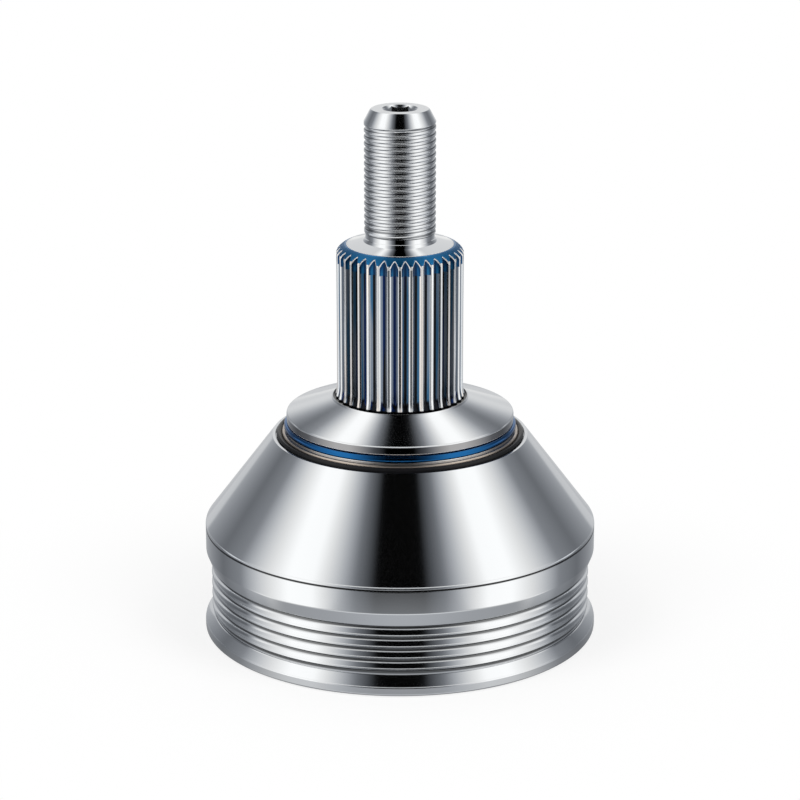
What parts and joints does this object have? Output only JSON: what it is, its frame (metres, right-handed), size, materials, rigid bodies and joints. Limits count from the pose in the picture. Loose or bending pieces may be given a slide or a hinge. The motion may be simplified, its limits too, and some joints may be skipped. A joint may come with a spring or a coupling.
{
  "type": "constant-velocity joint",
  "caption": "Outer ball-type constant-velocity joint: ribbed bell with a splined, threaded stub axle, and a star race, cage and balls that let the half-shaft bend.",
  "frame": {"origin": "centre of the bell's open mouth, on the mouth face that the joint stands on", "axes": "+Z along the stub axle, away from the mouth; the joint bends about +Y; the first ball lies along +X"},
  "size_m": [0.09, 0.09, 0.1208],
  "materials": {
    "machined_steel": "turned and polished steel, with a blue coating on the lead-in of its spline",
    "ring_steel": "bright rolled steel",
    "black_rubber": "moulded black rubber, slightly glossy",
    "blue_rubber": "smooth blue seal rubber",
    "cage_steel": "hardened and ground, dark",
    "race_steel": "hardened steel with ground tracks",
    "spring_steel": "oiled spring wire",
    "ball_steel": "polished bearing ball"
  },
  "bodies": {
    "outer_race": {"outer_race": "machined_steel", "steel_backing_ring": "ring_steel", "black_dust_seal": "black_rubber", "blue_seal_ring": "blue_rubber"},
    "inner_race": {"inner_race": "race_steel", "circlip": "spring_steel"},
    "cage": {"cage": "cage_steel"},
    "ball_1": {"ball_1": "ball_steel"},
    "ball_2": {"ball_2": "ball_steel"},
    "ball_3": {"ball_3": "ball_steel"},
    "ball_4": {"ball_4": "ball_steel"},
    "ball_5": {"ball_5": "ball_steel"},
    "ball_6": {"ball_6": "ball_steel"}
  },
  "joints": [
    {"name": "articulation", "type": "hinge", "parent": "outer_race", "child": "inner_race", "pos_m": [0, 0, 0.016], "axis": [0, 1, 0], "range_deg": [-44, 44]},
    {"name": "cage_tilt", "type": "hinge", "parent": "outer_race", "child": "cage", "pos_m": [0, 0, 0.016], "axis": [0, 1, 0], "range_deg": [-22, 22]},
    {"name": "ball_1_roll", "type": "hinge", "parent": "outer_race", "child": "ball_1", "pos_m": [0, 0, 0.013], "axis": [0, 1, 0], "range_deg": [-22, 22]},
    {"name": "ball_2_roll", "type": "hinge", "parent": "outer_race", "child": "ball_2", "pos_m": [0, 0, 0.013], "axis": [-0.866, 0.5, 0], "range_deg": [-11.5, 11.5]},
    {"name": "ball_3_roll", "type": "hinge", "parent": "outer_race", "child": "ball_3", "pos_m": [0, 0, 0.013], "axis": [-0.866, -0.5, 0], "range_deg": [-11.5, 11.5]},
    {"name": "ball_4_roll", "type": "hinge", "parent": "outer_race", "child": "ball_4", "pos_m": [0, 0, 0.013], "axis": [0, -1, 0], "range_deg": [-22, 22]},
    {"name": "ball_5_roll", "type": "hinge", "parent": "outer_race", "child": "ball_5", "pos_m": [0, 0, 0.013], "axis": [0.866, -0.5, 0], "range_deg": [-11.5, 11.5]},
    {"name": "ball_6_roll", "type": "hinge", "parent": "outer_race", "child": "ball_6", "pos_m": [0, 0, 0.013], "axis": [0.866, 0.5, 0], "range_deg": [-11.5, 11.5]}
  ],
  "couplings": [
    {"joint": "cage_tilt", "follows": "articulation", "ratio": 0.5},
    {"joint": "ball_1_roll", "follows": "articulation", "ratio": 0.5},
    {"joint": "ball_2_roll", "follows": "articulation", "ratio": 0.259},
    {"joint": "ball_3_roll", "follows": "articulation", "ratio": -0.259},
    {"joint": "ball_4_roll", "follows": "articulation", "ratio": -0.5},
    {"joint": "ball_5_roll", "follows": "articulation", "ratio": -0.259},
    {"joint": "ball_6_roll", "follows": "articulation", "ratio": 0.259}
  ]
}
